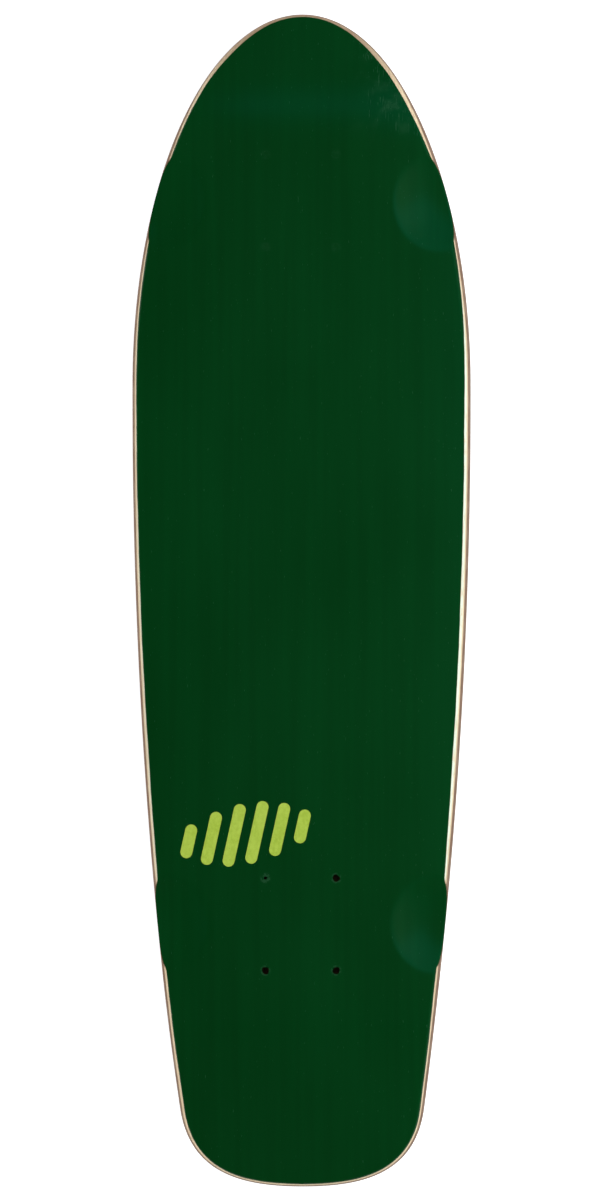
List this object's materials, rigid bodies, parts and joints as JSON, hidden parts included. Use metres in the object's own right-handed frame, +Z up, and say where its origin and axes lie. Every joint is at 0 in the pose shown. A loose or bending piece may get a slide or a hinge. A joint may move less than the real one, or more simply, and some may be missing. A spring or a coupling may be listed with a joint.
{
  "type": "skateboard deck",
  "caption": "Bare skateboard deck with a pointed round nose, squared tail, wheel wells and truck bolt holes; green painted underside with lime stripes, grip tape on the riding side.",
  "frame": {"origin": "on the surface that the deck lies on, under the middle of its length and width", "axes": "+Z up out of the painted underside, +Y towards the nose, +X to the right of someone looking down at the underside"},
  "size_m": [0.1978, 0.6856, 0.0364],
  "materials": {
    "maple": "sanded bare edge, long grain",
    "maple_crossband": "sanded bare edge, end grain",
    "green_paint": "gloss",
    "lime_ink": "gloss",
    "grip": "coarse grit"
  },
  "bodies": {
    "root": {"bottom_face_veneer": "maple", "bottom_core_veneer": "maple", "lower_crossband": "maple_crossband", "centre_core_veneer": "maple", "upper_crossband": "maple_crossband", "top_core_veneer": "maple", "top_face_veneer": "maple", "paint_film": "green_paint", "lime_stripe_1": "lime_ink", "lime_stripe_2": "lime_ink", "lime_stripe_3": "lime_ink", "lime_stripe_4": "lime_ink", "lime_stripe_5": "lime_ink", "lime_stripe_6": "lime_ink", "grip_tape": "grip"}
  },
  "joints": []
}
